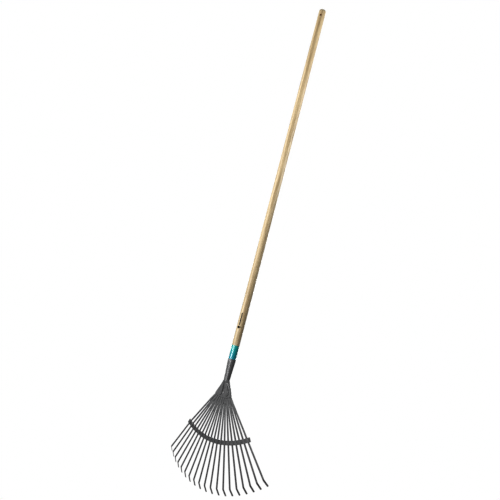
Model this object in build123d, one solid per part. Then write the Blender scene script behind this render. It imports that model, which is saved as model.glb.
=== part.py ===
from build123d import *
import os
from math import acos, asin, cos, degrees, radians, sin, sqrt

# Leaf rake: an ash handle in a pressed steel socket, and a fan of flat spring-steel tines
# that the socket clamps at their roots and a bowed two-strip brace holds apart.
#
# Frame, in millimetres: the origin is the centre of the hanging hole, +Z runs up the handle,
# X runs across the fan, and the tine tips are bent towards +Y.
# The head has a frame of its own: its origin is the socket's neck on the handle's axis, its Z runs
# up the fan, and its Y points the way that the tips bend. "Depth" below is distance down the fan.

# Handle
HANDLE_DIAMETER = 28.0
HANDLE_ABOVE_SOCKET = 1480.0
HANDLE_CROWN = 9.0                    # radius of the rounded top edge
HANG_HOLE_DIAMETER = 8.0
HANG_HOLE_FROM_TOP = 32.0
HANG_HOLE_EASE = 0.8                  # rounding of the hole's rims
HANDLE_TURN = 28.0                    # degrees from -Y towards +X that the hole's front end faces
BAND_LENGTH = 52.0
BAND_WALL = 0.5
BAND_GAP = 0.02

# Socket
SOCKET_LENGTH = 77.0
SOCKET_MOUTH_DIAMETER = 29.6
SOCKET_NECK_DIAMETER = 22.0
SHEET = 1.6                           # thickness of the pressed steel
FOOT_GAP = 0.1                        # between the handle's foot and the socket
FOOT_CLEARANCE = 7.0                  # from the foot's end to the neck
SCREW_FROM_MOUTH = 5.0
SCREW_HEAD_DIAMETER = 6.4
SCREW_HEAD_HEIGHT = 1.9
SCREW_SHANK_DIAMETER = 3.4
SCREW_LENGTH = 19.0
SCREW_SLOT_WIDTH = 1.1
SCREW_SLOT_LENGTH = 3.6

# Head
HEAD_TILT = 4.0                       # degrees that the fan leans towards +Y off the handle's line
THROAT_LENGTH = 32.0
THROAT_MIDDLE = 15.0
THROAT_MIDDLE_HALF = 7.4              # half thickness there
THROAT_ROUNDNESS = 0.97               # share of the half thickness that is rounded at the sides
THROAT_END_ROUNDNESS = 0.3            # the same where it meets the plate
CLAMP_GAP = 3.2                       # between the two clamp plates, for two layers of roots
PLATE_TOP = 29.0
PLATE_CORNER_X = 41.0
PLATE_CORNER_DEPTH = 54.0
PLATE_BOTTOM_DEPTH = 63.5
PLATE_CORNER_RADIUS = 3.0
SIDE_WALL_END = 43.0
REAR_PLATE_TOP = 33.0
REAR_PLATE_INSET = 2.4
REAR_RIB_WIDTH = 5.0
REAR_RIB_HEIGHT = 1.2
REAR_RIB_ROUND = 0.8
REAR_RIB_RADIUS = 43.5
REAR_RIB_HALF_ANGLE = 34.0
LOBE_TOP = (5.2, 4.0, 5.4)            # across, depth and radius of a lobe's narrow end
LOBE_END = (16.0, 46.5, 11.6)         # the same for its round lower end
LOBE_HEIGHT = 3.6                     # above the front plate, at the lower end
LOBE_BASE = 2.0                       # how far behind the plate a lobe starts, so that it leans clear
LOBE_LEAN = 5.0                       # degrees that its top leans forward, towards the neck
LOBE_DRAFT = 2.6                      # how much narrower a lobe's top is than its root, all round
LOBE_ROUND = 1.2
CLAMP_RIVET_DEPTH = 46.5
CLAMP_RIVET_DIAMETER = 5.0
CLAMP_RIVET_HEAD = 8.4
CLAMP_RIVET_HEAD_HEIGHT = 2.0
DOME_ROUNDING = 0.8                   # share of a head's height that is rounded

# Tines
TINE_COUNT = 19
TINE_WIDTH = 6.4
ROOT_WIDTH = 5.6                      # at the clamped end, to which a tine narrows
TINE_THICKNESS = 1.5
FAN_HALF_ANGLE = 38.5                 # of an outermost tine
FAN_CROWDING = 1.8                    # degrees by which the outer tines close up
BEND_RADIUS_FROM_NECK = 377.0         # distance of every tip bend from the neck
FAN_BOW = 27.0                        # how far the outermost bends lie behind the middle one
TINE_TWIST = 12.0                     # degrees by which the outermost tine turns with the bow
TIP_LENGTH = 27.4
TIP_BEND = 35.8
TIP_BEND_RADIUS = 6.0
TIP_CORNER = 2.2
ROOT_CENTRE_DEPTH = 12.0              # the roots point at this depth, a little below the neck
ROOT_START = 42.0                     # distances of a root's two ends from that point
ROOT_END = 87.0
KINK_ABOVE_BRACE = 2.0                # where a tine's straight lower run begins
LAYER_OFFSET = 0.8                    # odd tines are clamped in front, even ones behind

# Brace
BRACE_CENTRE_DEPTH = -98.0
BRACE_RADIUS = 317.0
BRACE_HEIGHT = 16.0
BRACE_HALF_ANGLE = 29.3
BRACE_BOW_RADIUS = 1184.0
BRACE_SPARE = 1.0                     # degrees of bowed sheet past each end, before it is trimmed
BRACE_STRIP = 1.5
BRACE_SEAM = 0.9                      # where the two strips meet, behind the tines' middle surface
TINE_CLEARANCE = 0.2
BRIDGE_TOP_WIDTH = 9.0
BRIDGE_FOOT_WIDTH = 11.2
BRIDGE_ROUND = 1.1
BRACE_RIVET_GAPS = (2, 7, 12, 17)     # each rivet sits between this tine and the next
BRACE_RIVET_DIAMETER = 2.2
BRACE_RIVET_HEAD = 4.0
BRACE_RIVET_HEAD_HEIGHT = 1.1
BRACE_RIVET_SLACK = 0.02              # keeps the flat heads off the bowed strips

# Worked out from the above
HANDLE_RADIUS = HANDLE_DIAMETER / 2
Z_TOP = HANG_HOLE_FROM_TOP
Z_MOUTH = Z_TOP - HANDLE_ABOVE_SOCKET
Z_NECK = Z_MOUTH - SOCKET_LENGTH
Z_BAND_TOP = Z_MOUTH + BAND_LENGTH
HEAD = Location((0, 0, Z_NECK), (HEAD_TILT, 0, 0))
PLATE_FACE = CLAMP_GAP / 2            # inner face of each clamp plate
PLATE_BACK = PLATE_FACE + SHEET       # outer face
BEHIND = Vector(0, 1, 0)
FAR = 60.0                            # long enough to cut right through the head


def socket_radius(z):
    """Outer radius of the socket's cone at height z."""
    share = (Z_MOUTH - z) / SOCKET_LENGTH
    return (SOCKET_MOUTH_DIAMETER + (SOCKET_NECK_DIAMETER - SOCKET_MOUTH_DIAMETER) * share) / 2


def foot_radius(z):
    """Radius of the handle's foot at height z, just inside the socket's wall."""
    return socket_radius(z) - SHEET - FOOT_GAP


def turned(points):
    """A solid of revolution about Z from a half outline of (radius, height) points."""
    outline = make_face(Polyline(*points, close=True))
    return revolve(Plane.XZ * outline, Axis.Z)


def headed_pin(shank, length, head, head_height, both_ends):
    """A pin along -Z from the head's seat at z = 0, with a domed head and, if asked, one at its end."""
    dome = fillet(Cylinder(head / 2, head_height, align=(Align.CENTER, Align.CENTER, Align.MIN))
                  .edges().group_by(Axis.Z)[-1], head_height * DOME_ROUNDING)
    pin = Cylinder(shank / 2, length, align=(Align.CENTER, Align.CENTER, Align.MAX)) + dome
    if both_ends:
        pin += Pos(0, 0, -length) * Rot(180, 0, 0) * dome
    return pin


# ---- Handle, band and screw ----

def hang_hole():
    """The drill for the hanging hole, along its turned direction through the origin."""
    return Rot(0, 0, HANDLE_TURN) * Rot(90, 0, 0) * Cylinder(HANG_HOLE_DIAMETER / 2, 2 * HANDLE_DIAMETER)


def screw_location():
    """Where the screw's head sits: on the socket's front, with local +Z pointing out of it."""
    z = Z_MOUTH - SCREW_FROM_MOUTH
    head_top = z + SCREW_HEAD_DIAMETER / 2
    return Location((0, -socket_radius(head_top), z), (90, 0, 0))


def make_handle():
    z_foot = Z_NECK + FOOT_CLEARANCE
    rebate = HANDLE_RADIUS - BAND_WALL - BAND_GAP
    pole = turned([(0, Z_TOP), (HANDLE_RADIUS, Z_TOP), (HANDLE_RADIUS, Z_BAND_TOP), (rebate, Z_BAND_TOP),
                   (rebate, Z_MOUTH), (foot_radius(Z_MOUTH), Z_MOUTH), (foot_radius(z_foot), z_foot),
                   (0, z_foot)])
    pole = fillet(pole.edges().group_by(Axis.Z)[-1], HANDLE_CROWN)
    pole -= hang_hole()
    rims = pole.edges().filter_by_position(Axis.Z, -HANG_HOLE_DIAMETER, HANG_HOLE_DIAMETER)
    pole = fillet(rims.filter_by(GeomType.LINE, reverse=True), HANG_HOLE_EASE)
    pilot = Cylinder(SCREW_SHANK_DIAMETER / 2, SCREW_LENGTH, align=(Align.CENTER, Align.CENTER, Align.MAX))
    return pole - screw_location() * pilot


def make_handle_band():
    inner = HANDLE_RADIUS - BAND_WALL
    return turned([(inner, Z_MOUTH), (HANDLE_RADIUS, Z_MOUTH),
                   (HANDLE_RADIUS, Z_BAND_TOP), (inner, Z_BAND_TOP)])


def make_socket_screw():
    screw = headed_pin(SCREW_SHANK_DIAMETER, SCREW_LENGTH, SCREW_HEAD_DIAMETER, SCREW_HEAD_HEIGHT, False)
    slot = Box(SCREW_SLOT_LENGTH, SCREW_SLOT_WIDTH, SCREW_HEAD_HEIGHT)
    cross = slot + Rot(0, 0, 90) * slot
    return screw_location() * (screw - Pos(0, 0, SCREW_HEAD_HEIGHT) * cross)


# ---- Socket and clamp, in the head's frame ----

def on_fan(outline, start, thickness):
    """A flat outline of (across, height) given thickness, from depth-wise position Y = start backwards."""
    return Pos(0, start + thickness, 0) * extrude(Plane.XZ * outline, thickness)


def edge_x(depth, inset=0.0):
    """Half width of the clamp plate at a depth down the fan."""
    neck = SOCKET_NECK_DIAMETER / 2
    slope = (PLATE_CORNER_X - neck) / PLATE_CORNER_DEPTH
    return neck + slope * depth - inset * sqrt(1 + slope * slope)


def plate_outline(top, inset=0.0):
    """The clamp plate's outline: straight sloping sides and a bottom edge that is an arc."""
    right = (edge_x(PLATE_CORNER_DEPTH, inset), -PLATE_CORNER_DEPTH)
    bottom = (0, inset - PLATE_BOTTOM_DEPTH)
    left = (-right[0], right[1])
    start_right = (edge_x(top, inset), -top)
    start_left = (-start_right[0], -top)
    edges = Line(start_left, start_right) + Line(start_right, right)
    edges += ThreePointArc(right, bottom, left) + Line(left, start_left)
    face = make_face(edges)
    return fillet(face.vertices().group_by(Axis.Y)[0], PLATE_CORNER_RADIUS)


def throat(wall):
    """The stretch where the round socket flattens, drawn in by a wall thickness."""
    neck = SOCKET_NECK_DIAMETER / 2 - wall
    sections = [
        (0, neck, neck, THROAT_ROUNDNESS),
        (THROAT_MIDDLE, edge_x(THROAT_MIDDLE) - wall, THROAT_MIDDLE_HALF - wall, THROAT_ROUNDNESS),
        (THROAT_LENGTH, edge_x(THROAT_LENGTH) - wall, PLATE_BACK - wall, THROAT_END_ROUNDNESS),
    ]
    faces = []
    for depth, half_width, half_thickness, roundness in sections:
        outline = RectangleRounded(2 * half_width, 2 * half_thickness, half_thickness * roundness)
        level = Rot(-HEAD_TILT, 0, 0) if depth == 0 else Pos(0, 0, -depth)
        faces.append(level * outline)
    return loft(faces)


def round_taper(start, start_radius, end, end_radius):
    """The flat outline that wraps two circles of different radii."""
    start, end = Vector(*start), Vector(*end)
    towards = (end - start).normalized()
    lean = degrees(acos((start_radius - end_radius) / (end - start).length))
    left = towards.rotate(Axis.Z, lean)
    right = towards.rotate(Axis.Z, -lean)
    start_left, start_right = start + left * start_radius, start + right * start_radius
    end_left, end_right = end + left * end_radius, end + right * end_radius
    edges = Line(start_left, end_left) + ThreePointArc(end_left, end + towards * end_radius, end_right)
    edges += Line(end_right, start_right)
    edges += ThreePointArc(start_right, start - towards * start_radius, start_left)
    return make_face(edges)


def lobes(inset=0.0):
    """The two pressed lobes: round-ended tapers out of the front plate, leaning forward into the neck."""
    across, depth, radius = LOBE_TOP
    end_across, end_depth, end_radius = LOBE_END
    sections = []
    for front, shrink in ((PLATE_FACE - LOBE_BASE, 0), (PLATE_BACK + LOBE_HEIGHT, LOBE_DRAFT)):
        cut = inset + shrink
        outline = round_taper((across, -depth), radius - cut, (end_across, -end_depth), end_radius - cut)
        sections.append(Pos(0, inset - front, 0) * (Plane.XZ * outline))
    raised = loft(sections, ruled=True)
    raised = fillet(raised.faces().sort_by(Axis.Y)[0].edges(), LOBE_ROUND)
    hinge = Pos(0, -PLATE_BACK, -end_depth)
    right = hinge * Rot(LOBE_LEAN, 0, 0) * hinge.inverse() * raised
    return right + mirror(right, Plane.YZ)


def make_socket():
    cone = Cone(SOCKET_NECK_DIAMETER / 2, SOCKET_MOUTH_DIAMETER / 2, SOCKET_LENGTH,
                align=(Align.CENTER, Align.CENTER, Align.MIN))
    bore = Cone(SOCKET_NECK_DIAMETER / 2 - SHEET, SOCKET_MOUTH_DIAMETER / 2 - SHEET, SOCKET_LENGTH,
                align=(Align.CENTER, Align.CENTER, Align.MIN))
    plate = on_fan(plate_outline(PLATE_TOP), -PLATE_BACK, SHEET)
    tray = on_fan(plate_outline(PLATE_TOP), -PLATE_BACK, PLATE_BACK + PLATE_FACE)
    hollow = on_fan(plate_outline(0, SHEET), -PLATE_FACE, FAR)
    open_end = Box(4 * FAR, FAR, FAR, align=(Align.CENTER, Align.MIN, Align.MAX))
    open_end = Pos(0, 0, -SIDE_WALL_END) * open_end
    walls = tray - hollow - Pos(0, -PLATE_FACE, 0) * open_end
    behind = Box(4 * FAR, FAR, 4 * FAR, align=(Align.CENTER, Align.MIN, Align.CENTER))
    behind = Pos(0, -PLATE_FACE, 0) * behind
    head = throat(0) + plate + walls + (lobes() - behind)
    head -= throat(SHEET)
    head -= lobes(SHEET)
    head -= Pos(0, 0, -CLAMP_RIVET_DEPTH) * Rot(90, 0, 0) * Cylinder(CLAMP_RIVET_DIAMETER / 2, FAR)
    drill = Cylinder(SCREW_SHANK_DIAMETER / 2, SCREW_LENGTH)
    neck = Pos(0, 0, Z_NECK)
    return neck * cone + HEAD * head - neck * bore - screw_location() * drill


def make_clamp_plate():
    plate = on_fan(plate_outline(REAR_PLATE_TOP, REAR_PLATE_INSET), PLATE_FACE, SHEET)
    first = 270 - REAR_RIB_HALF_ANGLE
    arc = CenterArc((0, -ROOT_CENTRE_DEPTH), REAR_RIB_RADIUS, first, 2 * REAR_RIB_HALF_ANGLE)
    rib = on_fan(trace(arc, REAR_RIB_WIDTH), PLATE_BACK, REAR_RIB_HEIGHT)
    rib = fillet(rib.faces().sort_by(Axis.Y)[-1].edges(), REAR_RIB_ROUND)
    hole = Pos(0, 0, -CLAMP_RIVET_DEPTH) * Rot(90, 0, 0) * Cylinder(CLAMP_RIVET_DIAMETER / 2, FAR)
    return HEAD * (plate + rib - hole)


def make_clamp_rivet():
    pin = headed_pin(CLAMP_RIVET_DIAMETER, 2 * PLATE_BACK, CLAMP_RIVET_HEAD, CLAMP_RIVET_HEAD_HEIGHT, True)
    return HEAD * Location((0, -PLATE_BACK, -CLAMP_RIVET_DEPTH), (90, 0, 0)) * pin


# ---- Fan geometry, in the head's frame ----

def station(number):
    """Place of a tine, or of a gap if number is a half, from -1 at the left to 1 at the right."""
    middle = (TINE_COUNT + 1) / 2
    return (number - middle) / (middle - 1)


def ray(u):
    """Direction in the fan from the neck towards a station."""
    angle = radians(FAN_HALF_ANGLE * u - FAN_CROWDING * (u ** 3 - u))
    return Vector(sin(angle), 0, -cos(angle))


def bow(x):
    """How far behind the flat fan the brace's middle surface lies at a distance across."""
    return BRACE_BOW_RADIUS - sqrt(BRACE_BOW_RADIUS ** 2 - x ** 2)


def brace_point(u):
    """Where a station's ray crosses the middle of the brace."""
    direction = ray(u)
    drop = BRACE_CENTRE_DEPTH * direction.Z
    reach = sqrt(BRACE_RADIUS ** 2 - (BRACE_CENTRE_DEPTH * direction.X) ** 2) - drop
    flat = direction * reach
    return Vector(flat.X, bow(flat.X), flat.Z)


def bend_point(u):
    """The sharp corner of a tine's tip bend."""
    return ray(u) * BEND_RADIUS_FROM_NECK + BEHIND * (FAN_BOW * u * u)


def tine_plane(u):
    """Frame of a tine's lower run at the brace: X across the strip, Y behind it, Z up along it."""
    start = brace_point(u)
    along = (bend_point(u) - start).normalized()
    level = along.cross(BEHIND).normalized()
    across = level.rotate(Axis((0, 0, 0), along), -TINE_TWIST * u)
    return Plane(origin=start, x_dir=across, z_dir=-along)


def root_section(aim, distance, layer, width):
    """The tine's flat section at a distance from the point that the roots aim at."""
    centre = Vector(0, 0, -ROOT_CENTRE_DEPTH)
    flat_aim = Vector(aim.X, 0, aim.Z) - centre
    along = flat_aim.normalized()
    place = centre + along * distance + BEHIND * layer
    return Plane(origin=place, x_dir=along.cross(BEHIND), z_dir=-along) * Rectangle(width, TINE_THICKNESS)


def make_tine(number):
    u = station(number)
    frame = tine_plane(u)
    above_brace = BRACE_HEIGHT / 2 + KINK_ABOVE_BRACE
    run = (bend_point(u) - brace_point(u)).length
    bend = (0, -run)
    tip = (TIP_LENGTH * sin(radians(TIP_BEND)), -run - TIP_LENGTH * cos(radians(TIP_BEND)))
    side = trace(FilletPolyline((0, above_brace), bend, tip, radius=TIP_BEND_RADIUS), TINE_THICKNESS)
    lower = extrude(Plane.YZ * side, TINE_WIDTH / 2, both=True)
    end = lower.faces().sort_by(Axis.Z)[0]
    lower = fillet(end.edges().filter_by(Axis.X, reverse=True), TIP_CORNER)
    kink = frame * Pos(0, 0, above_brace)
    layer = -LAYER_OFFSET if number % 2 else LAYER_OFFSET
    sections = [
        root_section(kink.position, ROOT_START, layer, ROOT_WIDTH),
        root_section(kink.position, ROOT_END, layer, TINE_WIDTH),
        kink * Rectangle(TINE_WIDTH, TINE_THICKNESS),
    ]
    return HEAD * (loft(sections, ruled=True) + frame * lower)


# ---- Brace, in the head's frame ----

def brace_band():
    """The brace's outline down the fan, as a prism right through it."""
    arc = CenterArc((0, -BRACE_CENTRE_DEPTH), BRACE_RADIUS, 270 - BRACE_HALF_ANGLE, 2 * BRACE_HALF_ANGLE)
    return extrude(Plane.XZ * trace(arc, BRACE_HEIGHT), FAR, both=True)


def bowed_sheet(front, back):
    """A sheet bowed like the brace, between two distances behind its middle surface."""
    reach = degrees(asin(BRACE_RADIUS * sin(radians(BRACE_HALF_ANGLE)) / BRACE_BOW_RADIUS)) + BRACE_SPARE
    arc = CenterArc((0, BRACE_BOW_RADIUS), BRACE_BOW_RADIUS - (front + back) / 2, 270 - reach, 2 * reach)
    return extrude(trace(arc, back - front), -BRACE_RADIUS)


def bridge(u):
    """The arch that is pressed over one tine, before the brace's outline trims it."""
    top = -TINE_THICKNESS / 2 - TINE_CLEARANCE - BRACE_STRIP
    foot = BRACE_SEAM + BRACE_STRIP
    outline = make_face(Polyline((-BRIDGE_FOOT_WIDTH / 2, foot), (-BRIDGE_TOP_WIDTH / 2, top),
                                 (BRIDGE_TOP_WIDTH / 2, top), (BRIDGE_FOOT_WIDTH / 2, foot), close=True))
    outline = fillet(outline.vertices().group_by(Axis.Y)[0], BRIDGE_ROUND)
    return tine_plane(u) * extrude(outline, 2 * BRACE_HEIGHT, both=True)


def slot(u, back):
    """The passage of one tine through the brace, open behind as far as back."""
    front = -TINE_THICKNESS / 2 - TINE_CLEARANCE
    outline = Pos(0, (front + back) / 2) * Rectangle(TINE_WIDTH + 2 * TINE_CLEARANCE, back - front)
    return tine_plane(u) * extrude(outline, 2 * BRACE_HEIGHT, both=True)


def brace_rivet_location(number):
    """Where a brace rivet's front head sits, with local +Z pointing out of the front strip."""
    middle = brace_point(station(number + 0.5))
    lean = degrees(asin(middle.X / BRACE_BOW_RADIUS))
    seat = BRACE_SEAM - BRACE_STRIP
    return Pos(middle) * Rot(0, 0, lean) * Location((0, seat, 0), (90, 0, 0))


def rivet_holes():
    hole = Cylinder(BRACE_RIVET_DIAMETER / 2, FAR)
    return [brace_rivet_location(number) * hole for number in BRACE_RIVET_GAPS]


def make_brace_front():
    stations = [station(number) for number in range(1, TINE_COUNT + 1)]
    band = brace_band()
    bridges = Part() + [bridge(u) for u in stations]
    bridges = bridges & band & bowed_sheet(-4 * BRACE_STRIP, BRACE_SEAM)
    strip = bowed_sheet(BRACE_SEAM - BRACE_STRIP, BRACE_SEAM) & band
    strip = strip + bridges - [slot(u, 2 * BRACE_STRIP) for u in stations]
    return HEAD * (strip - rivet_holes())


def make_brace_rear():
    stations = [station(number) for number in range(1, TINE_COUNT + 1)]
    strip = bowed_sheet(BRACE_SEAM, BRACE_SEAM + BRACE_STRIP) & brace_band()
    grooves = [slot(u, TINE_THICKNESS / 2 + TINE_CLEARANCE) for u in stations]
    return HEAD * (strip - grooves - rivet_holes())


def make_brace_rivets():
    grip = 2 * BRACE_STRIP + BRACE_RIVET_SLACK
    pin = headed_pin(BRACE_RIVET_DIAMETER, grip, BRACE_RIVET_HEAD, BRACE_RIVET_HEAD_HEIGHT, True)
    return Compound([HEAD * brace_rivet_location(number) * pin for number in BRACE_RIVET_GAPS])


def main():
    parts = {
        "handle": make_handle(),
        "handle_band": make_handle_band(),
        "socket": make_socket(),
        "socket_screw": make_socket_screw(),
        "clamp_plate": make_clamp_plate(),
        "clamp_rivet": make_clamp_rivet(),
        "brace_front": make_brace_front(),
        "brace_rear": make_brace_rear(),
        "brace_rivets": make_brace_rivets(),
    }
    for number in range(1, TINE_COUNT + 1):
        parts[f"tine_{number:02d}"] = make_tine(number)
    os.makedirs("parts", exist_ok=True)
    for name, shape in parts.items():
        export_step(shape, f"parts/{name}.step")


main()
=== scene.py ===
# Looks of a leaf rake: an ash handle with a teal film band, a charcoal-coated socket and clamp,
# nineteen flat spring-steel tines and the bowed brace that holds them apart.
#
# Everything is in metres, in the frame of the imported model: the origin is the centre of the hanging
# hole, +Z runs up the handle, X runs across the fan and the tine tips are bent towards +Y.

import logging
import math
from dataclasses import dataclass, field
from enum import Enum

import bmesh
import bpy
from mathutils import Matrix, Vector

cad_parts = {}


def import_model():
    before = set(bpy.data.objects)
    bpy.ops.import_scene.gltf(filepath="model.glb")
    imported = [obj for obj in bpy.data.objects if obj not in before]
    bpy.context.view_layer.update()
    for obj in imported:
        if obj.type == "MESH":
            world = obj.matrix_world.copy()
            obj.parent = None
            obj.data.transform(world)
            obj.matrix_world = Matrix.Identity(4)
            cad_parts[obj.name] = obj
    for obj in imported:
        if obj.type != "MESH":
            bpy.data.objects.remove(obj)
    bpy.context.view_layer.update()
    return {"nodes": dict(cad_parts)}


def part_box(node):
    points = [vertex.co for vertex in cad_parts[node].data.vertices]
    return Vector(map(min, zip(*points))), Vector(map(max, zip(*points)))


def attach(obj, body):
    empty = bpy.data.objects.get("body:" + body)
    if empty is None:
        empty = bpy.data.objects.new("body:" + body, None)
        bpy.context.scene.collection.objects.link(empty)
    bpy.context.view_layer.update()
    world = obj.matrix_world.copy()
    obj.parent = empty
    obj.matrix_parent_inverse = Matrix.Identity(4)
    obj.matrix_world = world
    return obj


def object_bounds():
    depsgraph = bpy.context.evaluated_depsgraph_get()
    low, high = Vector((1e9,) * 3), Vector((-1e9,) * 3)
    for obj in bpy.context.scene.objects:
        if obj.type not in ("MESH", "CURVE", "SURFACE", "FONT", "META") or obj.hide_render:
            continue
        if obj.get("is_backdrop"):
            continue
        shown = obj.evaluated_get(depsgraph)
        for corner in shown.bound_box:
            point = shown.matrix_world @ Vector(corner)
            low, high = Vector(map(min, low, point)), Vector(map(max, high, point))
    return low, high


LOG = logging.getLogger("leaf_rake")
MM = 0.001

WAVE_PERIOD = math.tau / 20                     # of the wave texture at a scale of 1
MIX_FACTOR, MIX_FIRST, MIX_SECOND = 0, 6, 7     # inputs of the Mix node where it mixes colours
MIX_RESULT = 2                                  # its output there

Colour = tuple[float, float, float]
Triple = tuple[float, float, float]


# ---------------------------------------------------------------------------
# Patterns
# ---------------------------------------------------------------------------

@dataclass(frozen=True)
class Grain:
    """A soft noise, read at a piece's own coordinates or at those times stretch plus shift."""

    detail: float
    roughness: float = 0.55
    fineness: float = 1.0
    stretch: Triple | None = None
    shift: Triple = (0.0, 0.0, 0.0)


@dataclass(frozen=True)
class Ramp:
    """A range of values and the range it is mapped to, held at its ends."""

    low: float
    high: float
    to_low: float = 0.0
    to_high: float = 1.0
    smooth: bool = False


@dataclass(frozen=True)
class Relief:
    """How strong a bump is, and its depth in metres."""

    strength: float
    depth: float


class NodeBench:
    """A material's node tree, with short ways to add nodes and join them."""

    def __init__(self, name: str) -> None:
        """Starts an empty material.

        Args:
            name: the material's name.
        """
        self.material = bpy.data.materials.new(name)
        self.material.use_nodes = True
        self.tree = self.material.node_tree
        self.tree.nodes.clear()
        output = self.tree.nodes.new("ShaderNodeOutputMaterial")
        self.surface = self.tree.nodes.new("ShaderNodeBsdfPrincipled")
        self.link(self.surface.outputs["BSDF"], output.inputs["Surface"])
        self.place = self.tree.nodes.new("ShaderNodeTexCoord").outputs["Object"]

    def link(self, source: bpy.types.NodeSocket, target: bpy.types.NodeSocket) -> None:
        """Joins an output to an input.

        Args:
            source: the output socket.
            target: the input socket.
        """
        self.tree.links.new(source, target)

    def feed(self, socket: bpy.types.NodeSocket, value: object) -> None:
        """Gives an input its value, or joins it to an output.

        Args:
            socket: the input.
            value: a number, a colour, a vector or an output socket.
        """
        if isinstance(value, bpy.types.NodeSocket):
            self.link(value, socket)
        elif socket.type == "RGBA":
            socket.default_value = (*value, 1.0)
        else:
            socket.default_value = value

    def feed_named(self, node: bpy.types.Node, inputs: dict[str, object]) -> None:
        """Feeds a node's inputs by name.

        Args:
            node: the node.
            inputs: values or output sockets, with spaces in the inputs' names as underscores.
        """
        for key, value in inputs.items():
            self.feed(node.inputs[key.replace("_", " ")], value)

    def add(self, kind: str, settings: dict[str, object] | None = None, **inputs: object) -> bpy.types.Node:
        """Adds a node.

        Args:
            kind: the node's type name without its ShaderNode prefix.
            settings: properties of the node itself.
            inputs: values or output sockets for its inputs, as feed_named takes them.

        Returns:
            The new node.
        """
        node = self.tree.nodes.new("ShaderNode" + kind)
        for key, value in (settings or {}).items():
            setattr(node, key, value)
        self.feed_named(node, inputs)
        return node

    def shade(self, **inputs: object) -> bpy.types.Material:
        """Sets the shader's own inputs.

        Args:
            inputs: values or output sockets, as feed_named takes them.

        Returns:
            The finished material.
        """
        self.feed_named(self.surface, inputs)
        return self.material

    def stretched(self, scale: Triple, shift: Triple) -> bpy.types.NodeSocket:
        """The piece's coordinates, scaled and then shifted.

        Args:
            scale: factors along X, Y and Z.
            shift: added after scaling.

        Returns:
            The vector output.
        """
        return self.add("Mapping", Vector=self.place, Scale=scale, Location=shift).outputs["Vector"]

    def noise(self, grain: Grain) -> bpy.types.NodeSocket:
        """Soft noise between 0 and 1.

        Args:
            grain: its fineness, octaves and stretch.

        Returns:
            The factor output.
        """
        where = self.stretched(grain.stretch, grain.shift) if grain.stretch else self.place
        return self.add("TexNoise", Vector=where, Scale=grain.fineness, Detail=grain.detail,
                        Roughness=grain.roughness).outputs["Fac"]

    def span(self, value: bpy.types.NodeSocket, ramp: Ramp) -> bpy.types.NodeSocket:
        """Maps a range of values onto another, held at its ends.

        Args:
            value: the value.
            ramp: both ranges.

        Returns:
            The result output.
        """
        node = self.add("MapRange", {"clamp": True})
        if ramp.smooth:
            node.interpolation_type = "SMOOTHSTEP"
        given = (value, ramp.low, ramp.high, ramp.to_low, ramp.to_high)
        for socket, number in zip(node.inputs, given):
            self.feed(socket, number)
        return node.outputs[0]

    def calculate(self, operation: str, *values: object) -> bpy.types.NodeSocket:
        """One sum.

        Args:
            operation: the node's operation.
            values: numbers or output sockets.

        Returns:
            The result output.
        """
        node = self.add("Math", {"operation": operation})
        for socket, value in zip(node.inputs, values):
            self.feed(socket, value)
        return node.outputs[0]

    def multiply(self, first: object, second: object) -> bpy.types.NodeSocket:
        """The product of two numbers or output sockets."""
        return self.calculate("MULTIPLY", first, second)

    def inverse(self, share: bpy.types.NodeSocket) -> bpy.types.NodeSocket:
        """One less a share."""
        return self.calculate("SUBTRACT", 1.0, share)

    def blend(self, factor: object, first: object, second: object,
              how: str = "MIX") -> bpy.types.NodeSocket:
        """Mixes two colours.

        Args:
            factor: share of the second.
            first: a colour or an output socket.
            second: a colour or an output socket.
            how: the blend type.

        Returns:
            The colour output.
        """
        node = self.add("Mix", {"data_type": "RGBA", "blend_type": how})
        self.feed(node.inputs[MIX_FACTOR], factor)
        self.feed(node.inputs[MIX_FIRST], first)
        self.feed(node.inputs[MIX_SECOND], second)
        return node.outputs[MIX_RESULT]

    def axis(self, letter: str) -> bpy.types.NodeSocket:
        """One of the piece's coordinates.

        Args:
            letter: X, Y or Z.

        Returns:
            The value output.
        """
        return self.add("SeparateXYZ", Vector=self.place).outputs[letter]

    def compare(self, operation: str, other: Triple) -> bpy.types.NodeSocket:
        """A number from the piece's coordinates and one fixed vector.

        Args:
            operation: the vector node's operation.
            other: the fixed vector.

        Returns:
            The value output.
        """
        node = self.add("VectorMath", {"operation": operation})
        self.link(self.place, node.inputs[0])
        node.inputs[1].default_value = other
        return node.outputs["Value"]

    def along(self, direction: Triple) -> bpy.types.NodeSocket:
        """How far a point lies along a unit vector."""
        return self.compare("DOT_PRODUCT", direction)

    def distance_from(self, point: Triple) -> bpy.types.NodeSocket:
        """How far a point lies from another."""
        return self.compare("DISTANCE", point)

    def bump(self, height: bpy.types.NodeSocket, relief: Relief,
             under: bpy.types.NodeSocket | None = None) -> bpy.types.NodeSocket:
        """A bump from a height.

        Args:
            height: the height output.
            relief: its strength and depth.
            under: the normal of a bump below this one.

        Returns:
            The normal output.
        """
        node = self.add("Bump", Height=height, Strength=relief.strength, Distance=relief.depth)
        if under is not None:
            self.link(under, node.inputs["Normal"])
        return node.outputs["Normal"]


# ---------------------------------------------------------------------------
# Finishes
# ---------------------------------------------------------------------------

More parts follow.
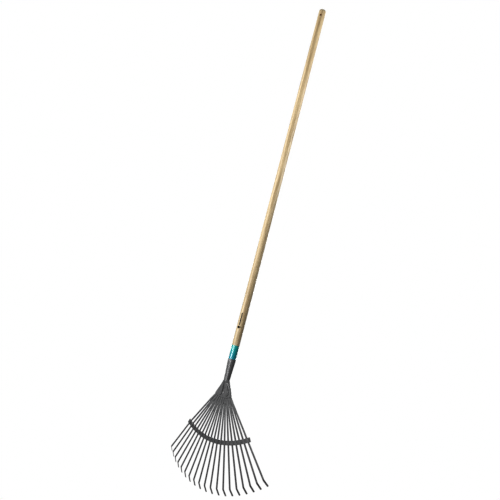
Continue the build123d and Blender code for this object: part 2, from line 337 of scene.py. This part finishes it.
@dataclass(frozen=True)
class OiledAsh:
    """Straight-grained ash under a satin oil, with end grain at the crown and painted shade in and round
    the bored hole.
    """

    light: Colour = (0.64, 0.53, 0.345)
    middle: Colour = (0.51, 0.405, 0.24)
    dark: Colour = (0.30, 0.215, 0.112)
    end_tint: Colour = (0.36, 0.40, 0.36)
    # painted shade inside the bored hole and round its rim
    hole_shade: Colour = (0.22, 0.105, 0.03)
    ring_spacing: float = 3.4 * MM
    ring_stretch: Triple = (1.0, 1.0, 0.035)
    pith: Triple = (-0.021, 0.034, 0.0)
    fibre: Grain = Grain(detail=7.0, roughness=0.62, stretch=(620.0, 620.0, 7.0))
    pore: Grain = Grain(detail=3.0, roughness=0.5, stretch=(1500.0, 1500.0, 22.0))
    streak: Grain = Grain(detail=4.0, roughness=0.6, stretch=(170.0, 170.0, 9.0), shift=(0.7, 2.3, 1.1))
    broad: Grain = Grain(detail=3.0, roughness=0.5, stretch=(46.0, 46.0, 3.2), shift=(3.1, 1.7, 0.4))
    pore_open: Ramp = Ramp(0.36, 0.47, 1.0, 0.0)
    pore_in_ring: Ramp = Ramp(0.25, 0.85, 0.25, 1.0)
    late_wood: Ramp = Ramp(0.05, 0.95, 0.0, 0.85)
    fibre_dark: Ramp = Ramp(0.42, 0.70, 0.0, 0.55)
    streak_dark: Ramp = Ramp(0.46, 0.64, 0.0, 0.62, smooth=True)
    broad_dark: Ramp = Ramp(0.40, 0.72, 0.0, 0.50, smooth=True)
    pore_dark: float = 0.45
    dullness: Ramp = Ramp(0.3, 0.75, 0.40, 0.56)
    oil: float = 0.18
    oil_dullness: float = 0.32
    shine: float = 0.42
    fibre_relief: Relief = Relief(0.30, 0.12 * MM)
    pore_relief: Relief = Relief(0.35, 0.10 * MM)
    hole_turn: float = 28.0
    hole_radius: float = 4.0 * MM
    # how far past the hole's wall the painted shade starts to fade, and where it is gone
    hole_shade_from: float = 0.1 * MM
    hole_shade_to: float = 1.1 * MM
    top: float = 32.0 * MM
    end_from: float = 13.0 * MM
    end_to: float = 4.0 * MM
    end_share: float = 0.9

    def make(self) -> bpy.types.Material:
        """Builds the material.

        Returns:
            The ash material.
        """
        bench = NodeBench("oiled_ash")
        rings = self.rings(bench)
        fibre = bench.noise(self.fibre)
        pores = bench.multiply(bench.span(bench.noise(self.pore), self.pore_open),
                               bench.span(rings, self.pore_in_ring))
        wood = self.long_grain(bench, rings, fibre, pores)
        wood = self.crown(bench, wood)
        wood = self.bored_hole(bench, wood)
        ridges = bench.bump(fibre, self.fibre_relief)
        pits = bench.bump(bench.inverse(pores), self.pore_relief, ridges)
        return bench.shade(Base_Color=wood, Roughness=bench.span(fibre, self.dullness), Normal=pits,
                           Coat_Weight=self.oil, Coat_Roughness=self.oil_dullness,
                           Specular_IOR_Level=self.shine)

    def rings(self, bench: NodeBench) -> bpy.types.NodeSocket:
        """The year rings, wavering round a pith that lies outside the handle.

        Args:
            bench: the material under way.

        Returns:
            The factor output.
        """
        where = bench.stretched(self.ring_stretch, self.pith)
        wave = bench.add("TexWave", {"wave_type": "RINGS", "rings_direction": "Z", "wave_profile": "SAW"},
                         Vector=where, Scale=WAVE_PERIOD / self.ring_spacing, Distortion=3.4,
                         Detail=3.0, Detail_Scale=0.55, Detail_Roughness=0.5)
        return wave.outputs["Fac"]

    def long_grain(self, bench: NodeBench, rings: bpy.types.NodeSocket, fibre: bpy.types.NodeSocket,
                   pores: bpy.types.NodeSocket) -> bpy.types.NodeSocket:
        """The wood's colour along the pole: late wood, fibres, streaks, slow changes and pores.

        Args:
            bench: the material under way.
            rings: the year rings.
            fibre: the fine long grain.
            pores: the open pores.

        Returns:
            The colour output.
        """
        wood = bench.blend(bench.span(rings, self.late_wood), self.light, self.middle)
        wood = bench.blend(bench.span(fibre, self.fibre_dark), wood, self.dark)
        wood = bench.blend(bench.span(bench.noise(self.streak), self.streak_dark), wood, self.dark)
        wood = bench.blend(bench.span(bench.noise(self.broad), self.broad_dark), wood, self.dark)
        return bench.blend(bench.multiply(pores, self.pore_dark), wood, self.dark)

    def crown(self, bench: NodeBench, wood: bpy.types.NodeSocket) -> bpy.types.NodeSocket:
        """Greys the wood towards the top of the pole.

        Args:
            bench: the material under way.
            wood: the colour so far.

        Returns:
            The colour output.
        """
        rise = Ramp(self.top - self.end_from, self.top - self.end_to, 0.0, self.end_share, smooth=True)
        return bench.blend(bench.span(bench.axis("Z"), rise), wood, self.end_tint, "MULTIPLY")

    def bored_hole(self, bench: NodeBench, wood: bpy.types.NodeSocket) -> bpy.types.NodeSocket:
        """Darkens the wood in and round the hanging hole, which is bored through the origin: painted shade
        in the hole and round its rim.

        Args:
            bench: the material under way.
            wood: the colour so far.

        Returns:
            The colour output.
        """
        turn = math.radians(self.hole_turn)
        across = bench.calculate("POWER", bench.along((math.cos(turn), math.sin(turn), 0.0)), 2.0)
        above = bench.calculate("POWER", bench.axis("Z"), 2.0)
        reach = bench.calculate("SQRT", bench.calculate("ADD", across, above))
        fade = Ramp(self.hole_radius + self.hole_shade_from, self.hole_radius + self.hole_shade_to, 1.0, 0.0,
                    smooth=True)
        return bench.blend(bench.span(reach, fade), wood, self.hole_shade)


@dataclass(frozen=True)
class GlossFilm:
    """Teal film shrunk on to the wood: glossy, faintly rippled, with one lap down the back."""

    low: float
    high: float
    colour: Colour = (0.0, 0.33, 0.31)
    deep: Colour = (0.0, 0.22, 0.34)
    lap: Colour = (0.0, 0.12, 0.14)
    scuffed: Colour = (0.25, 0.45, 0.46)
    lap_half: float = 0.35 * MM
    lap_fade: float = 2.2
    back: Ramp = Ramp(0.0, 1.0 * MM)
    cloud: Grain = Grain(detail=3.0, stretch=(70.0, 70.0, 40.0))
    scuff: Grain = Grain(detail=6.0, stretch=(420.0, 420.0, 60.0))
    ripple: Grain = Grain(detail=3.0, stretch=(190.0, 190.0, 45.0), shift=(1.0, 2.0, 0.0))
    deep_share: float = 0.75
    cloud_share: Ramp = Ramp(0.35, 0.65, 0.55, 1.0)
    scuff_place: Ramp = Ramp(0.63, 0.72)
    scuff_share: float = 0.25
    dullness: Ramp = Ramp(0.0, 1.0, 0.20, 0.42)
    clear_coat: float = 0.7
    clear_dullness: float = 0.14
    ripple_relief: Relief = Relief(0.35, 0.18 * MM)
    lap_relief: Relief = Relief(0.6, 0.2 * MM)

    def make(self) -> bpy.types.Material:
        """Builds the material.

        Returns:
            The film material.
        """
        bench = NodeBench("gloss_film")
        lap = self.lap_line(bench)
        scuff = bench.span(bench.noise(self.scuff), self.scuff_place)
        fall = bench.span(bench.axis("Z"), Ramp(self.low, self.high, self.deep_share, 0.0, smooth=True))
        cloud = bench.span(bench.noise(self.cloud), self.cloud_share)
        hue = bench.blend(bench.multiply(fall, cloud), self.colour, self.deep)
        hue = bench.blend(lap, hue, self.lap)
        hue = bench.blend(bench.multiply(scuff, self.scuff_share), hue, self.scuffed)
        ripples = bench.bump(bench.noise(self.ripple), self.ripple_relief)
        return bench.shade(Base_Color=hue, Roughness=bench.span(scuff, self.dullness),
                           Normal=bench.bump(lap, self.lap_relief, ripples),
                           Coat_Weight=self.clear_coat, Coat_Roughness=self.clear_dullness)

    def lap_line(self, bench: NodeBench) -> bpy.types.NodeSocket:
        """The line down the back where the film laps over itself.

        Args:
            bench: the material under way.

        Returns:
            The factor output.
        """
        sideways = bench.calculate("ABSOLUTE", bench.axis("X"))
        near = bench.span(sideways, Ramp(self.lap_half, self.lap_fade * self.lap_half, 1.0, 0.0))
        return bench.multiply(bench.span(bench.axis("Y"), self.back), near)


class Wear(Enum):
    """Where a coated steel piece has lost its coat."""

    HANDLED = "scratched by handling"
    TIPS = "scratched by handling and chipped at the tips"


@dataclass(frozen=True)
class CharcoalCoat:
    """Semi-gloss charcoal powder coat: orange peel, faint mottling, dust nibs, bare steel where it rubs,
    and on the tines painted shade away from the neck.
    """

    name: str
    wear: Wear
    colour: Colour = (0.108, 0.109, 0.111)
    mottled: Colour = (0.150, 0.151, 0.153)
    nib: Colour = (0.16, 0.16, 0.162)
    steel: Colour = (0.40, 0.39, 0.375)
    # multiplied into the tines' coat away from the neck: painted shade
    painted_shade_tint: Colour = (0.58, 0.58, 0.59)
    neck: Triple = (0.0, 0.0, -1.525)
    # the painted shade on the tines fades in between these distances from the neck
    shade_from: float = 0.08
    shade_to: float = 0.20
    worn: Ramp = Ramp(0.372, 0.404)
    dullness: float = 0.28
    dullness_change: Ramp = Ramp(0.3, 0.7, -0.05, 0.10)
    cloud: Grain = Grain(detail=5.0, roughness=0.6, fineness=95.0)
    grit: Grain = Grain(detail=3.0, roughness=0.5, fineness=1150.0)
    peel: Grain = Grain(detail=2.0, roughness=0.4, fineness=780.0)
    patch: Grain = Grain(detail=6.0, roughness=0.66, fineness=330.0)
    scratch: Grain = Grain(detail=5.0, roughness=0.6, stretch=(900.0, 900.0, 60.0), shift=(2.0, 5.0, 1.0))
    mottling: Ramp = Ramp(0.36, 0.66, 0.0, 0.8)
    nibs: Ramp = Ramp(0.60, 0.74, 0.0, 0.35)
    metal: Ramp = Ramp(0.0, 1.0, 0.12, 0.95)
    scratched: Ramp = Ramp(0.66, 0.71)
    scratch_share: float = 0.35
    patched: Ramp = Ramp(0.52, 0.60)
    chip_push: float = 0.26
    chipped: Ramp = Ramp(0.66, 0.73)
    chip_start: Ramp = Ramp(0.0, 0.15)
    shine: float = 0.75
    peel_relief: Relief = Relief(0.30, 0.10 * MM)
    nib_relief: Relief = Relief(0.16, 0.05 * MM)
    chip_relief: Relief = Relief(0.4, 0.06 * MM)

    def make(self) -> bpy.types.Material:
        """Builds the material.

        Returns:
            The coated steel material.
        """
        bench = NodeBench(self.name)
        cloud = bench.noise(self.cloud)
        grit = bench.noise(self.grit)
        bare = self.bare(bench)
        tone = bench.blend(bench.span(cloud, self.mottling), self.colour, self.mottled)
        tone = bench.blend(bench.span(grit, self.nibs), tone, self.nib)
        # The tines' coat is painted darker away from the neck: painted shade on the fan.
        if self.wear is Wear.TIPS:
            away = bench.distance_from(self.neck)
            shade_share = bench.span(away, Ramp(self.shade_from, self.shade_to, smooth=True))
            tone = bench.blend(shade_share, tone, self.painted_shade_tint, "MULTIPLY")
        skin = bench.bump(bench.noise(self.peel), self.peel_relief)
        skin = bench.bump(grit, self.nib_relief, skin)
        skin = bench.bump(bench.inverse(bare), self.chip_relief, skin)
        change = self.dullness_change
        dullness = Ramp(change.low, change.high, self.dullness + change.to_low,
                        self.dullness + change.to_high)
        return bench.shade(Base_Color=bench.blend(bare, tone, self.steel), Normal=skin,
                           Metallic=bench.span(bare, self.metal), Roughness=bench.span(cloud, dullness),
                           Specular_IOR_Level=self.shine)

    def bare(self, bench: NodeBench) -> bpy.types.NodeSocket:
        """Where the steel shows through.

        Args:
            bench: the material under way.

        Returns:
            The factor output.
        """
        patches = bench.noise(self.patch)
        wear_and_highlight = bench.multiply(bench.span(bench.noise(self.scratch), self.scratched),
                                bench.span(patches, self.patched))
        wear_and_highlight = bench.multiply(wear_and_highlight, self.scratch_share)
        if self.wear is Wear.HANDLED:
            return wear_and_highlight
        reach = bench.span(bench.distance_from(self.neck), self.worn)
        pushed = bench.calculate("ADD", patches, bench.multiply(reach, self.chip_push))
        chips = bench.multiply(bench.span(pushed, self.chipped), bench.span(reach, self.chip_start))
        return bench.calculate("MAXIMUM", chips, wear_and_highlight)


@dataclass(frozen=True)
class BrightZinc:
    """Zinc plate with a faint spangle and turned lines."""

    colour: Colour = (0.70, 0.71, 0.72)
    dull: Colour = (0.46, 0.47, 0.49)
    spangle: Grain = Grain(detail=4.0, roughness=0.6, fineness=900.0)
    turned: Grain = Grain(detail=3.0, stretch=(300.0, 4200.0, 300.0))
    spangle_dull: Ramp = Ramp(0.4, 0.65)
    dullness: Ramp = Ramp(0.3, 0.7, 0.18, 0.36)
    turned_relief: Relief = Relief(0.25, 0.04 * MM)

    def make(self) -> bpy.types.Material:
        """Builds the material.

        Returns:
            The zinc material.
        """
        bench = NodeBench("bright_zinc")
        spangle = bench.span(bench.noise(self.spangle), self.spangle_dull)
        lines = bench.noise(self.turned)
        return bench.shade(Base_Color=bench.blend(spangle, self.colour, self.dull), Metallic=1.0,
                           Roughness=bench.span(lines, self.dullness),
                           Normal=bench.bump(lines, self.turned_relief))


@dataclass(frozen=True)
class StampInk:
    """Dark ink stamped on the wood, thinner where the grain stands up."""

    name: str
    colour: Colour
    faded: Colour
    grain: Grain = Grain(detail=5.0, stretch=(1300.0, 1300.0, 60.0))
    thin: Ramp = Ramp(0.50, 0.66)
    dullness: Ramp = Ramp(0.3, 0.7, 0.55, 0.75)
    shine: float = 0.15
    relief: Relief = Relief(0.3, 0.05 * MM)

    def make(self) -> bpy.types.Material:
        """Builds the material.

        Returns:
            The ink material.
        """
        bench = NodeBench(self.name)
        grain = bench.noise(self.grain)
        colour = bench.blend(bench.span(grain, self.thin), self.colour, self.faded)
        return bench.shade(Base_Color=colour, Roughness=bench.span(grain, self.dullness),
                           Specular_IOR_Level=self.shine, Normal=bench.bump(grain, self.relief))


# ---------------------------------------------------------------------------
# Pieces
# ---------------------------------------------------------------------------

@dataclass
class Dressed:
    """A sub-assembly whose carried-over nodes get a finish and softened edges."""

    nodes: dict[str, bpy.types.Object]
    weld_reach: float = 0.001 * MM
    edge_steps: int = 2
    sharp_angle: float = 42.0
    face_weight: int = 80

    def dress(self, names: list[str], material: bpy.types.Material, edge: float = 0.0) -> None:
        """Gives nodes their material and, if asked, rounds their sharp edges.

        Args:
            names: the nodes.
            material: the finish.
            edge: width of the rounding, or 0 for none.
        """
        for name in names:
            piece = self.nodes[name]
            for slot in piece.material_slots:
                slot.material = material
            if edge > 0:
                self.soften(piece, edge)
            LOG.info("dressed %s in %s", name, material.name)

    def soften(self, piece: bpy.types.Object, edge: float) -> None:
        """Rounds a node's sharp edges with modifiers, which leave its own mesh alone.

        Args:
            piece: the node's object.
            edge: width of the rounding.
        """
        weld = piece.modifiers.new("weld", "WELD")
        weld.merge_threshold = self.weld_reach
        bevel = piece.modifiers.new("edges", "BEVEL")
        bevel.width = edge
        bevel.segments = self.edge_steps
        bevel.limit_method = "ANGLE"
        bevel.angle_limit = math.radians(self.sharp_angle)
        bevel.miter_outer = "MITER_ARC"
        normals = piece.modifiers.new("normals", "WEIGHTED_NORMAL")
        normals.keep_sharp = False
        normals.weight = self.face_weight


@dataclass
class Handle(Dressed):
    """The ash pole and the film band round its lower end."""

    def build(self) -> None:
        """Dresses the pole and the band."""
        low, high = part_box("handle_band")
        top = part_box("handle")[1].z
        self.dress(["handle"], OiledAsh(top=top).make())
        self.dress(["handle_band"], GlossFilm(low=low.z, high=high.z).make())


@dataclass
class HandleStamp:
    """A plain stamped mark on the pole above the band: a lozenge, a small ring and a broken line.

    A turn is in degrees from -Y towards +X, and heights are above the socket's mouth.
    """

    lift: float = 0.05 * MM
    thickness: float = 0.12 * MM
    emblem_height: float = 120.5 * MM
    lozenge_turn: float = 12.0
    lozenge_size: float = 13.5 * MM
    ring_turn: float = 40.0
    ring_size: float = 6.4 * MM
    ring_share: float = 0.22
    line_turn: float = 15.0
    line_start: float = 128.5 * MM
    line_end: float = 175.0 * MM
    line_width: float = 4.6 * MM
    dashes: int = 7
    dash_share: float = 0.92
    steps: int = 8
    dark_ink: StampInk = StampInk("stamp_ink", (0.006, 0.0055, 0.004), (0.030, 0.022, 0.012))
    pale_ink: StampInk = StampInk("pale_stamp_ink", (0.040, 0.030, 0.018), (0.12, 0.085, 0.05))
    radius: float = field(init=False)
    mouth: float = field(init=False)

    def __post_init__(self) -> None:
        """Reads the pole's radius and the band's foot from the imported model."""
        self.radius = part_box("handle")[1].x
        self.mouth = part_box("handle_band")[0].z

    def build(self) -> None:
        """Makes the lozenge, its ring and the broken line."""
        dark = self.dark_ink.make()
        pale = self.pale_ink.make()
        self.finish("stamp_lozenge", self.lozenge(), self.lozenge_turn, self.emblem_height, dark)
        self.finish("stamp_ring", self.ring(), self.ring_turn, self.emblem_height, pale)
        self.finish("stamp_line", self.broken_line(), self.line_turn, self.line_start, dark)

    def lozenge(self) -> bmesh.types.BMesh:
        """Makes a flat lozenge.

        Returns:
            The flat mark, X across and Y along the pole.
        """
        mark = bmesh.new()
        side = self.lozenge_size / math.sqrt(2)
        place = Matrix.Rotation(math.radians(45), 4, "Z") @ Matrix.Scale(side, 4)
        bmesh.ops.create_grid(mark, x_segments=self.steps, y_segments=self.steps, size=0.5, matrix=place)
        return mark

    def ring(self) -> bmesh.types.BMesh:
        """Makes a flat ring.

        Returns:
            The flat mark, X across and Y along the pole.
        """
        mark = bmesh.new()
        disc = bmesh.ops.create_circle(mark, segments=4 * self.steps, radius=self.ring_size / 2,
                                       cap_ends=True)
        face = disc["verts"][0].link_faces[0]
        bmesh.ops.inset_region(mark, faces=[face], thickness=self.ring_size * self.ring_share,
                               use_boundary=True)
        middle = max(mark.faces, key=lambda f: len(f.verts))
        bmesh.ops.delete(mark, geom=[middle], context="FACES")
        return mark

    def broken_line(self) -> bmesh.types.BMesh:
        """Makes a row of flat dashes.

        Returns:
            The flat mark, X across and Y along the pole from the line's start.
        """
        mark = bmesh.new()
        pitch = (self.line_end - self.line_start) / self.dashes
        dash = Matrix.Diagonal((self.line_width, pitch * self.dash_share, 1, 1))
        for number in range(self.dashes):
            place = Matrix.Translation((0, (number + 0.5) * pitch, 0)) @ dash
            bmesh.ops.create_grid(mark, x_segments=self.steps, y_segments=2, size=0.5, matrix=place)
        return mark

    def finish(self, name: str, mark: bmesh.types.BMesh, turn: float, above: float,
               material: bpy.types.Material) -> None:
        """Wraps a flat mark round the pole, gives it thickness and makes it a piece.

        Args:
            name: the piece's name.
            mark: the flat mark, X across and Y along the pole.
            turn: the turn of its middle.
            above: the height of its Y = 0.
            material: its ink.
        """
        reach = self.radius + self.lift
        for vertex in mark.verts:
            angle = math.radians(turn) + vertex.co.x / self.radius
            height = self.mouth + above + vertex.co.y
            vertex.co = Vector((reach * math.sin(angle), -reach * math.cos(angle), height))
        bmesh.ops.recalc_face_normals(mark, faces=mark.faces)
        self.face_outwards(mark)
        bmesh.ops.solidify(mark, geom=list(mark.faces), thickness=self.thickness)
        data = bpy.data.meshes.new(name)
        mark.to_mesh(data)
        mark.free()
        data.materials.append(material)
        piece = bpy.data.objects.new(name, data)
        bpy.context.scene.collection.objects.link(piece)
        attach(piece, "root")
        LOG.info("made %s", name)

    @staticmethod
    def face_outwards(mark: bmesh.types.BMesh) -> None:
        """Turns the faces of an open patch away from the pole's axis.

        Args:
            mark: the wrapped patch.
        """
        without_height = Vector((1, 1, 0))
        inward = [f for f in mark.faces if f.normal.dot(f.calc_center_median() * without_height) < 0]
        bmesh.ops.reverse_faces(mark, faces=inward)


@dataclass
class Socket(Dressed):
    """The pressed socket, its screw, and the clamp plate and rivet that pinch the tine roots."""

    def build(self) -> None:
        """Dresses the socket, the clamp and the screw."""
        coat = CharcoalCoat("charcoal_coat", Wear.HANDLED).make()
        # The clamp rivet gets a lighter copy of the coat: a painted highlight, with real scratches on it.
        wear_and_highlight = CharcoalCoat("rivet_highlight_coat", Wear.HANDLED, colour=(0.20, 0.20, 0.205),
                              mottled=(0.27, 0.27, 0.275)).make()
        self.dress(["socket", "clamp_plate"], coat)
        self.dress(["clamp_rivet"], wear_and_highlight)
        self.dress(["socket_screw"], BrightZinc().make())


@dataclass
class TineFan(Dressed):
    """The nineteen spring-steel tines."""

    edge: float = 0.28 * MM

    def build(self) -> None:
        """Dresses every tine and rounds its rolled edges."""
        coat = CharcoalCoat("tine_coat", Wear.TIPS, dullness=0.36).make()
        names = sorted(name for name in self.nodes if name.startswith("tine_"))
        self.dress(names, coat, self.edge)


@dataclass
class Brace(Dressed):
    """The two bowed strips across the fan and their rivets."""

    edge: float = 0.25 * MM

    def build(self) -> None:
        """Dresses both strips and the rivets."""
        coat = CharcoalCoat("brace_coat", Wear.HANDLED, colour=(0.074, 0.075, 0.077),
                            mottled=(0.104, 0.105, 0.107), dullness=0.42).make()
        self.dress(["brace_front", "brace_rear"], coat, self.edge)
        self.dress(["brace_rivets"], coat)


# ---------------------------------------------------------------------------
# Studio
# ---------------------------------------------------------------------------

@dataclass(frozen=True)
class SoftLight:
    """One soft box, turned to a height on the handle's axis."""

    name: str
    place: Triple
    aim: float
    width: float
    height: float
    power: float

    def hang(self) -> None:
        """Hangs the light, unseen by the camera itself."""
        data = bpy.data.lights.new(self.name, "AREA")
        data.shape = "RECTANGLE"
        data.size = self.width
        data.size_y = self.height
        data.energy = self.power
        lamp = bpy.data.objects.new(self.name, data)
        lamp.location = self.place
        lamp.rotation_mode = "QUATERNION"
        inward = Vector((0.0, 0.0, self.aim)) - Vector(self.place)
        lamp.rotation_quaternion = inward.to_track_quat("-Z", "Y")
        lamp.visible_camera = False
        bpy.context.scene.collection.objects.link(lamp)


LIGHTS = (
    SoftLight("left_key", place=(-0.45, -1.55, -0.90), aim=-0.90, width=0.5, height=1.0, power=28.0),
    SoftLight("left_strip", place=(0.30, -1.53, -1.45), aim=-1.45, width=0.26, height=0.9, power=9.0),
    SoftLight("high_right", place=(0.62, 0.32, -0.25), aim=-0.25, width=0.4, height=0.7, power=9.0),
    SoftLight("high_left", place=(-0.62, -0.85, -0.15), aim=-0.15, width=0.5, height=0.7, power=7.5),
    SoftLight("back", place=(-1.30, 1.55, -0.70), aim=-1.00, width=1.0, height=1.6, power=44.0),
    SoftLight("top", place=(-0.10, 0.10, 1.30), aim=0.0, width=0.7, height=0.7, power=9.0),
)


@dataclass
class Studio:
    """A white sweep, soft lights and the camera.

    The floor and the surroundings are white where they are seen, and dimmer as light on the rake.
    """

    floor_size: float = 60.0
    floor_glow: float = 0.22
    surrounding_glow: float = 0.21
    seen_glow: float = 1.0
    camera_place: Triple = (1.66318, -1.83518, -1.56404)
    camera_right: Triple = (0.742827, 0.62144, 0.249038)
    camera_down: Triple = (0.047271, 0.322372, -0.945432)
    camera_forward: Triple = (-0.667812, 0.714065, 0.21009)
    lens: float = 47.80
    sensor_width: float = 36.0
    furthest_seen: float = 200.0
    gamma: float = 0.75

    def build(self) -> None:
        """Makes the floor, the surroundings, the lights and the camera."""
        self.lay_floor()
        self.light_surroundings()
        for light in LIGHTS:
            light.hang()
        self.set_camera()
        self.set_view()

    def lay_floor(self) -> None:
        """Lays a plain pale floor under the tips."""
        shape = bmesh.new()
        bmesh.ops.create_grid(shape, x_segments=1, y_segments=1, size=self.floor_size / 2)
        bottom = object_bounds()[0].z
        bmesh.ops.translate(shape, verts=shape.verts, vec=(0, 0, bottom))
        data = bpy.data.meshes.new("floor")
        shape.to_mesh(data)
        shape.free()
        data.materials.append(self.floor_finish())
        floor = bpy.data.objects.new("floor", data)
        bpy.context.scene.collection.objects.link(floor)
        floor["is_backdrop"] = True

    def floor_finish(self) -> bpy.types.Material:
        """A floor that only glows, so that the lights don't make it uneven.

        Returns:
            The floor's material.
        """
        bench = NodeBench("pale_floor")
        seen = bench.add("LightPath").outputs["Is Camera Ray"]
        glow = bench.span(seen, Ramp(0.0, 1.0, self.floor_glow, self.seen_glow))
        return bench.shade(Base_Color=(0.0, 0.0, 0.0), Specular_IOR_Level=0.0, Roughness=0.9,
                           Emission_Color=(1.0, 1.0, 1.0), Emission_Strength=glow)

    def light_surroundings(self) -> None:
        """Puts an even glow all round."""
        world = bpy.data.worlds.new("studio")
        world.use_nodes = True
        nodes, links = world.node_tree.nodes, world.node_tree.links
        back = nodes["Background"]
        back.inputs["Color"].default_value = (1.0, 1.0, 1.0, 1.0)
        seen = nodes.new("ShaderNodeLightPath")
        strength = nodes.new("ShaderNodeMapRange")
        strength.inputs["To Min"].default_value = self.surrounding_glow
        strength.inputs["To Max"].default_value = self.seen_glow
        links.new(seen.outputs["Is Camera Ray"], strength.inputs["Value"])
        links.new(strength.outputs["Result"], back.inputs["Strength"])
        bpy.context.scene.world = world

    def set_camera(self) -> None:
        """Places the camera low in front and to the right, leaning a little."""
        data = bpy.data.cameras.new("camera")
        data.lens = self.lens
        data.sensor_width = self.sensor_width
        data.clip_end = self.furthest_seen
        data.dof.use_dof = False
        camera = bpy.data.objects.new("camera", data)
        right, down = Vector(self.camera_right), Vector(self.camera_down)
        turn = Matrix((right, -down, -Vector(self.camera_forward))).transposed()
        camera.matrix_world = Matrix.Translation(self.camera_place) @ turn.to_4x4()
        bpy.context.scene.collection.objects.link(camera)
        bpy.context.scene.camera = camera

    def set_view(self) -> None:
        """Sets how the light is shown."""
        view = bpy.context.scene.view_settings
        view.view_transform = "Standard"
        view.gamma = self.gamma


def main() -> None:
    """Builds the rake piece by piece, then the studio round it."""
    logging.basicConfig(level=logging.INFO)
    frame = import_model()
    nodes = frame["nodes"]
    Handle(nodes).build()
    HandleStamp().build()
    Socket(nodes).build()
    TineFan(nodes).build()
    Brace(nodes).build()
    Studio().build()


if __name__ == "__main__":
    main()
